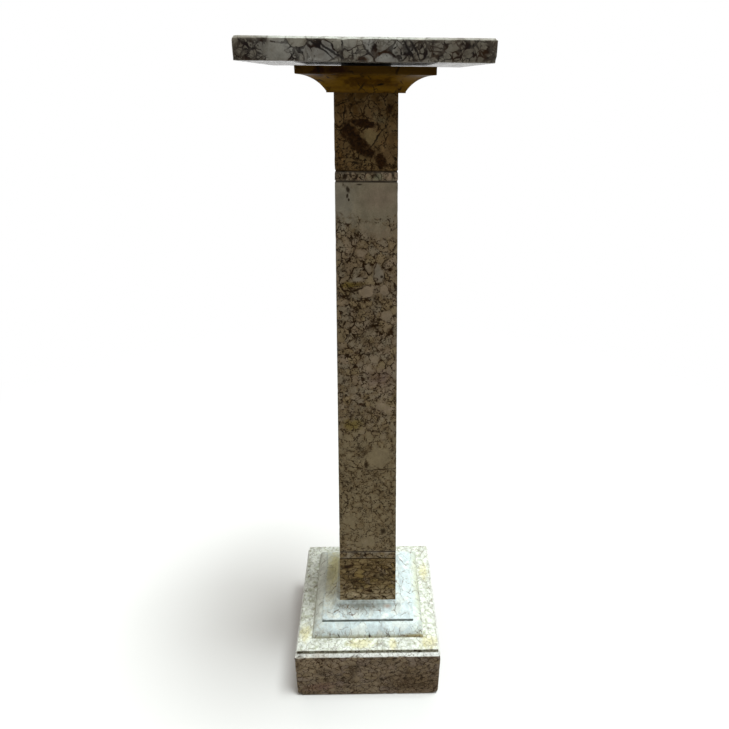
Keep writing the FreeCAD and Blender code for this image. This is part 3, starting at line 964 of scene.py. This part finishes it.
class PEDESTAL_OT_shaft(bpy.types.Operator):
    """Cuts the five stones of the tapered shaft with the V grooves between them"""

    bl_idname = "pedestal.shaft"
    bl_label = "Shaft"

    def execute(self, context):
        sizes = context.scene.pedestal_sizes
        shaft_foot, shaft_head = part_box("foot_block")[0].z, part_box("neck_block")[1].z
        foot_half, head_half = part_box("foot_block")[1].x, sizes.shaft_top_width / 2

        def half_at(height):
            share = (height - shaft_foot) / (shaft_head - shaft_foot)
            return foot_half + share * (head_half - foot_half)

        looks = {
            "foot_block": stone_look(
                seed=(700, 55, 30), ground="#9F8A62", second="#9C8A70", warm="#967D45",
                squeeze=(0.85, 1.0, 1.25), clast=12.0, fine=6.0, amount=0.45, crush=0.06, ochre=0.04,
                vein=1.35, browning=0.7, dark="#241809", faint=0.6, bare="#8F7C58",
            ),
            "lower_band": stone_look(
                seed=(20, 400, 77), clast=12.0, fine=6.0, amount=0.4, ground="#A08E72", browning=0.7
            ),
            "main_shaft": stone_look(
                turn=(12, 24, 20), squeeze=(1.05, 1.0, 0.95), clast=13.0, fine=7.0, amount=0.45,
                crush=0.03, vein=1.3, clots=0.11, faint=0.22, grit=0.3,
            ),
            "upper_band": stone_look(
                seed=(61, 18, 250), turn=(0, 38, 0), squeeze=(1.5, 1.0, 0.8), clast=11.0, fine=6.0,
                amount=0.45, crush=0.0, ground="#C0A690", vein=1.2, faint=0.7,
            ),
            "neck_block": stone_look(
                seed=(130, 77, 410), ground="#806542", second="#907552", warm="#6B4E28", clast=13.0,
                fine=6.5, amount=0.36, crush=0.0, ochre=0.06, vein=1.1, browning=0.9, grit=0.3,
                rust="#371F07", dark="#170B02", seam="#33200B", faint=0.4, warmth=0.9,
                bare="#70593A", cloudy=(0.62, 1.36),
            ),
        }
        grooves = {
            "foot_block": (False, True), "lower_band": (True, True), "main_shaft": (True, True),
            "upper_band": (True, True), "neck_block": (True, False),
        }
        bevel, depth, bore = sizes.groove_width / 2, sizes.groove_depth, sizes.bore_radius
        for node, (below, above) in grooves.items():
            low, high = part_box(node)
            foot, head = low.z, high.z
            wall = [foot + bevel if below else foot, head - bevel if above else head]
            outline = [(half_at(height), height) for height in wall]
            if below:
                outline.insert(0, (half_at(foot) - depth, foot))
            if above:
                outline.append((half_at(head) - depth, head))
            piece = stone(
                node + "_stone", [node], "pedestal", outline, sizes,
                under=[(bore, foot)], over=[(bore, head)],
            )
            title = node.replace("_", " ").capitalize() + " marble, sawn and dulled"
            give(piece, marble(title, looks[node], SHAFT_MARKS[node]))
        return {"FINISHED"}


class PEDESTAL_OT_capital(bpy.types.Operator):
    """Cuts the honey-coloured capital"""

    bl_idname = "pedestal.capital"
    bl_label = "Capital"

    def execute(self, context):
        sizes = context.scene.pedestal_sizes
        low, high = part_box("capital")
        foot_half = sizes.shaft_top_width / 2 + sizes.capital_lip
        lip = (foot_half, low.z + sizes.capital_lip_height)
        abacus = (high.x, high.z - sizes.abacus_height)
        outline = [(foot_half, low.z), lip, *cavetto(lip, abacus, CURVE_STEPS), (high.x, high.z)]
        floor = high.z - sizes.head_recess_depth
        bore, recess = sizes.bore_radius, sizes.head_recess_radius
        piece = stone(
            "capital_stone", ["capital"], "pedestal", outline, sizes,
            under=[(bore, low.z)], over=[(recess, high.z), (recess, floor), (bore, floor)],
        )
        give(piece, onyx("Honey onyx, moulded and polished"))
        return {"FINISHED"}


class PEDESTAL_OT_slab(bpy.types.Operator):
    """Cuts the top slab with its socket"""

    bl_idname = "pedestal.slab"
    bl_label = "Top slab"

    def execute(self, context):
        sizes = context.scene.pedestal_sizes
        tones = context.scene.pedestal_colours
        low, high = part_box("top_slab")
        half = high.x
        outline = [(half, low.z), (half, high.z - sizes.slab_bevel), (half - sizes.slab_bevel, high.z)]
        socket_top, bush_top = low.z + sizes.socket_depth, low.z + sizes.bush_depth
        under = [
            (sizes.bush_radius, bush_top), (sizes.bush_radius, socket_top),
            (sizes.socket_radius, socket_top), (sizes.socket_radius, low.z),
        ]
        over = [(60 * MM, high.z), (4 * MM, high.z)]
        dents = [((half, -half, low.z), 5 * MM, 1.4 * MM), ((-half, -half, high.z), 5 * MM, 1.2 * MM)]
        piece = stone(
            "slab", ["top_slab"], "top", outline, sizes, under=under, over=over, dents=dents, closed=False
        )
        # The slab's top is painted paler, as painted light from above
        look = stone_look(
            seed=(500, 130, 900), turn=(0, 0, 0), squeeze=(0.85, 1, 0.9), clast=15.0, fine=7.0,
            vein=1.5, amount=0.45, crush=0.0, ochre=-0.02, grit=0.05, faint=0.7, clots=0.03,
            ground="#A3A09A", second="#A8A6A3", warm="#9B9484", seam=tones.purple, dark="#191211",
            stain="#6E6357", wiped="#D9DCD5", wiping=1.0, polish=(0.12, 0.22), shine=0.065,
        )
        give(piece, marble("Slab marble, sawn and polished", look, SLAB_MARKS))
        return {"FINISHED"}


class PEDESTAL_OT_ironwork(bpy.types.Operator):
    """Finishes the rod, its nuts and washers, the socket plate, the bush, the screws and their plugs"""

    bl_idname = "pedestal.ironwork"
    bl_label = "Ironwork"

    def execute(self, context):
        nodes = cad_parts
        # Forged bar, blackened and oiled: a dark, uneven skin with a low shine
        shine = (0.38, 0.62)
        iron = plain_finish("Wrought iron, forged and oiled", "#5B5450", "#2E2824", 4.0, 1.0, shine, 0.12)
        # Brass and steel turned on a lathe are bright and a little uneven, and cast lead is grey and dull
        brass = plain_finish("Brass, turned", "#D8B062", "#B58E44", 2.0, 1.0, (0.24, 0.38), 0.03)
        steel = plain_finish("Steel, turned", "#A9A6A1", "#7C7975", 1.5, 1.0, (0.28, 0.42), 0.03)
        lead = plain_finish("Lead, cast", "#8C8C90", "#6A6A6E", 2.5, 1.0, (0.5, 0.65), 0.08)
        for name in ("tie_rod", "foot_plate", "foot_washer", "foot_nut", "head_washer", "head_nut"):
            give(nodes[name], iron)
        give(nodes["socket_plate"], iron)
        give(nodes["pivot_bush"], brass)
        give(nodes["socket_screws"], steel)
        give(nodes["screw_plugs"], lead)
        return {"FINISHED"}


class PEDESTAL_OT_washer(bpy.types.Operator):
    """Finishes the black washer that the slab turns on"""

    bl_idname = "pedestal.washer"
    bl_label = "Slip washer"

    def execute(self, context):
        # Vulcanised fibre, pressed and greased: nearly black, with a felted face
        shine = (0.45, 0.7)
        fibre = plain_finish("Vulcanised fibre, pressed", "#1E1B19", "#0E0C0B", 1.2, 0.0, shine, 0.06)
        give(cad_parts["slip_washer"], fibre)
        return {"FINISHED"}


class PEDESTAL_OT_stage(bpy.types.Operator):
    """Sets the floor, the light and the camera"""

    bl_idname = "pedestal.stage"
    bl_label = "Stage"

    def execute(self, context):
        scene = context.scene
        stage = scene.pedestal_stage
        self.lay_floor(scene)
        self.light(scene, stage)
        self.aim_camera(scene, stage)
        scene.view_settings.view_transform = "Standard"
        return {"FINISHED"}

    def lay_floor(self, scene):
        mesh = bmesh.new()
        bmesh.ops.create_grid(mesh, x_segments=8, y_segments=8, size=9.0)
        data = bpy.data.meshes.new("floor")
        mesh.to_mesh(data)
        mesh.free()
        floor = bpy.data.objects.new("floor", data)
        scene.collection.objects.link(floor)

        # Plain painted floor. It fades into the white backdrop away from the pedestal.
        material, tree, shader, place = new_material("Floor paint, matt")
        seen = self.seen(tree)
        depth = add(tree, "SeparateXYZ", {0: place})["Y"]
        behind = add(tree, "MapRange", {0: depth, 1: -250.0, 2: 350.0}, **SMOOTH)[0]
        floor_colour = layered(
            tree, (0.15, 0.145, 0.13), ((0.45, 0.44, 0.42), behind), ((0.78, 0.765, 0.77), seen)
        )
        tree.links.new(floor_colour, shader.inputs["Base Color"])
        shader.inputs["Roughness"].default_value = 0.9
        shader.inputs["Specular IOR Level"].default_value = 0.1
        far = add(tree, "VectorMath", {0: place}, operation="LENGTH")["Value"]
        fade = add(tree, "MapRange", {0: far, 1: 500.0, 2: 1700.0}, **SMOOTH)[0]
        fade = fold(tree, "MULTIPLY", fade, seen)
        white = add(tree, "Emission", {"Color": (1, 1, 1)})[0]
        mixed = add(tree, "MixShader", {0: fade, 1: shader.outputs[0], 2: white})[0]
        output = next(node for node in tree.nodes if node.type == "OUTPUT_MATERIAL")
        tree.links.new(mixed, output.inputs["Surface"])
        give(floor, material)

    def seen(self, tree):
        """1 for rays that show the stage: seen, mirrored or through glass."""
        rays = add(tree, "LightPath")
        shown = (rays["Is Camera Ray"], rays["Is Glossy Ray"], rays["Is Transmission Ray"])
        return fold(tree, "MAXIMUM", *shown)

    def light(self, scene, stage):
        world = bpy.data.worlds.new("Backdrop")
        world.use_nodes = True
        tree = world.node_tree
        tree.nodes.clear()
        seen = self.seen(tree)
        towards = add(tree, "SeparateXYZ", {0: add(tree, "TexCoord")["Generated"]})["Y"]
        around = {0: towards, 1: -0.1, 2: 0.8, 3: stage.fill, 4: stage.back}
        around = add(tree, "MapRange", around, **SMOOTH)[0]
        strength = add(tree, "Mix", {"Factor": seen, "A": around, "B": 1.0}, data_type="FLOAT")["Result"]
        tint = layered(tree, (1.0, 0.965, 0.88), ((1, 1, 1), seen))
        sky = add(tree, "Background", {"Color": tint, "Strength": strength})[0]
        add(tree, "OutputWorld", {"Surface": sky})
        scene.world = world

        data = bpy.data.lights.new("overhead", "SUN")
        data.energy = stage.key
        data.angle = math.radians(22)
        data.color = (0.93, 1.0, 0.985)
        lamp = bpy.data.objects.new("overhead", data)
        lamp.rotation_mode = "QUATERNION"
        towards_lamp = Vector((0.22, -0.06, 0.97))
        lamp.rotation_quaternion = towards_lamp.to_track_quat("Z", "Y")
        scene.collection.objects.link(lamp)

    def aim_camera(self, scene, stage):
        data = bpy.data.cameras.new("camera")
        data.sensor_width = 36.0
        data.lens = stage.lens
        data.shift_x = -0.0255
        data.shift_y = 0.0061
        data.clip_start = 0.05
        data.clip_end = 60.0
        camera = bpy.data.objects.new("camera", data)
        camera.location = (0.0042, -0.7843, 1.0036)
        pitch, yaw, roll = 0.4722, 0.0259, -0.0106
        aim = Euler((math.pi / 2 - pitch, 0.0, -yaw)).to_matrix() @ Matrix.Rotation(-roll, 3, "Z")
        camera.rotation_euler = aim.to_euler()
        scene.collection.objects.link(camera)
        scene.camera = camera


class PEDESTAL_PT_panel(bpy.types.Panel):
    """Lists the pedestal's pieces and their sizes"""

    bl_idname = "PEDESTAL_PT_panel"
    bl_label = "Marble pedestal"
    bl_space_type = "VIEW_3D"
    bl_region_type = "UI"
    bl_category = "Pedestal"

    def draw(self, context):
        for operator in OPERATORS:
            self.layout.operator(operator.bl_idname)
        for group in (
            context.scene.pedestal_sizes, context.scene.pedestal_colours, context.scene.pedestal_stage
        ):
            box = self.layout.box()
            for name in group.__annotations__:
                box.prop(group, name)


OPERATORS = (
    PEDESTAL_OT_plinth,
    PEDESTAL_OT_tiers,
    PEDESTAL_OT_shaft,
    PEDESTAL_OT_capital,
    PEDESTAL_OT_slab,
    PEDESTAL_OT_ironwork,
    PEDESTAL_OT_washer,
    PEDESTAL_OT_stage,
)
GROUPS = (PedestalSizes, PedestalColours, PedestalStage)


def register():
    for group in (*GROUPS, *OPERATORS, PEDESTAL_PT_panel):
        bpy.utils.register_class(group)
    bpy.types.Scene.pedestal_sizes = PointerProperty(type=PedestalSizes)
    bpy.types.Scene.pedestal_colours = PointerProperty(type=PedestalColours)
    bpy.types.Scene.pedestal_stage = PointerProperty(type=PedestalStage)


def unregister():
    del bpy.types.Scene.pedestal_stage
    del bpy.types.Scene.pedestal_colours
    del bpy.types.Scene.pedestal_sizes
    for group in reversed((*GROUPS, *OPERATORS, PEDESTAL_PT_panel)):
        bpy.utils.unregister_class(group)


def main():
    register()
    bpy.ops.pedestal.plinth()
    bpy.ops.pedestal.tiers()
    bpy.ops.pedestal.shaft()
    bpy.ops.pedestal.capital()
    bpy.ops.pedestal.slab()
    bpy.ops.pedestal.ironwork()
    bpy.ops.pedestal.washer()
    bpy.ops.pedestal.stage()


if __name__ == "__main__":
    main()
